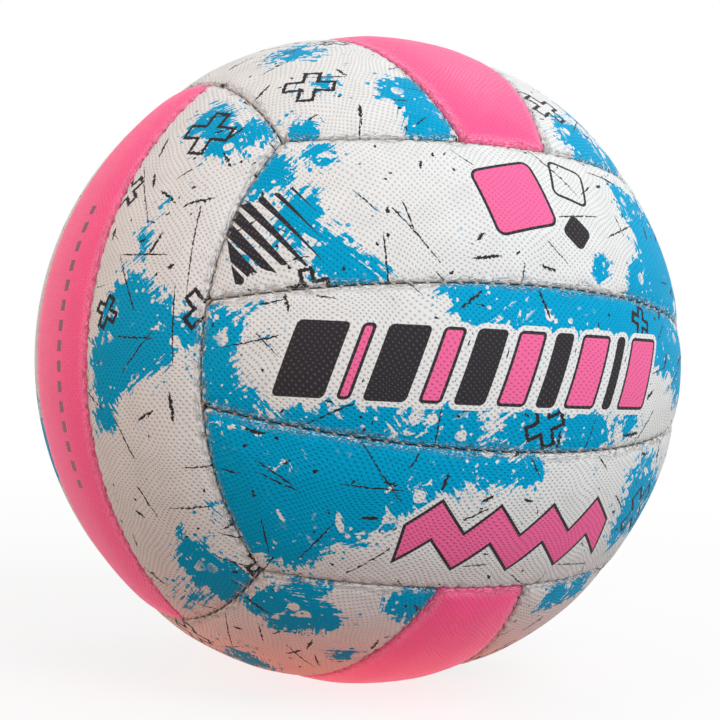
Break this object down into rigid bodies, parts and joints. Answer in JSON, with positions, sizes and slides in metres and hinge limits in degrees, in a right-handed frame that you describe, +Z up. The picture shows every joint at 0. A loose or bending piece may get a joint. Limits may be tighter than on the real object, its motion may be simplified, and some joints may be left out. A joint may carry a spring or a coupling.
{
  "type": "netball",
  "caption": "Stitched netball with a pimpled white, blue and pink cover over cloth lining and a blown-up bladder with a needle valve.",
  "frame": {"origin": "centre of the ball", "axes": "+Z up as in the picture, the printed front face looks along -Y, and the valve is at the middle of the +X side"},
  "size_m": [0.2227, 0.2228, 0.2228],
  "materials": {
    "printed_skin": "pimpled synthetic skin, white with blue, black and pink print, satin",
    "splashed_skin": "pimpled synthetic skin, white with blue splashes and dark scratches, satin",
    "pink_skin": "pimpled synthetic skin, plain pink, satin",
    "lining_cloth": "woven cotton and polyester laminate, matte",
    "thread": "waxed twisted thread",
    "bladder_rubber": "smooth butyl rubber",
    "valve_rubber": "moulded rubber, matte",
    "plug_rubber": "soft moulded rubber, matte"
  },
  "bodies": {
    "root": {"front_panel_lower": "printed_skin", "front_panel_middle": "printed_skin", "front_panel_upper": "printed_skin", "back_panel_lower": "printed_skin", "back_panel_middle": "printed_skin", "back_panel_upper": "printed_skin", "left_panel_front": "splashed_skin", "left_panel_middle": "pink_skin", "left_panel_back": "splashed_skin", "right_panel_front": "splashed_skin", "right_panel_middle": "pink_skin", "right_panel_back": "splashed_skin", "top_panel_left": "splashed_skin", "top_panel_middle": "pink_skin", "top_panel_right": "splashed_skin", "bottom_panel_left": "splashed_skin", "bottom_panel_middle": "pink_skin", "bottom_panel_right": "splashed_skin", "front_lining_lower": "lining_cloth", "front_lining_middle": "lining_cloth", "front_lining_upper": "lining_cloth", "back_lining_lower": "lining_cloth", "back_lining_middle": "lining_cloth", "back_lining_upper": "lining_cloth", "left_lining_front": "lining_cloth", "left_lining_middle": "lining_cloth", "left_lining_back": "lining_cloth", "right_lining_front": "lining_cloth", "right_lining_middle": "lining_cloth", "right_lining_back": "lining_cloth", "top_lining_left": "lining_cloth", "top_lining_middle": "lining_cloth", "top_lining_right": "lining_cloth", "bottom_lining_left": "lining_cloth", "bottom_lining_middle": "lining_cloth", "bottom_lining_right": "lining_cloth", "front_seam_thread": "thread", "back_seam_thread": "thread", "left_seam_thread": "thread", "right_seam_thread": "thread", "top_seam_thread": "thread", "bottom_seam_thread": "thread", "bladder": "bladder_rubber", "valve_boss": "valve_rubber", "valve_plug": "plug_rubber", "valve_patch": "lining_cloth"}
  },
  "joints": []
}
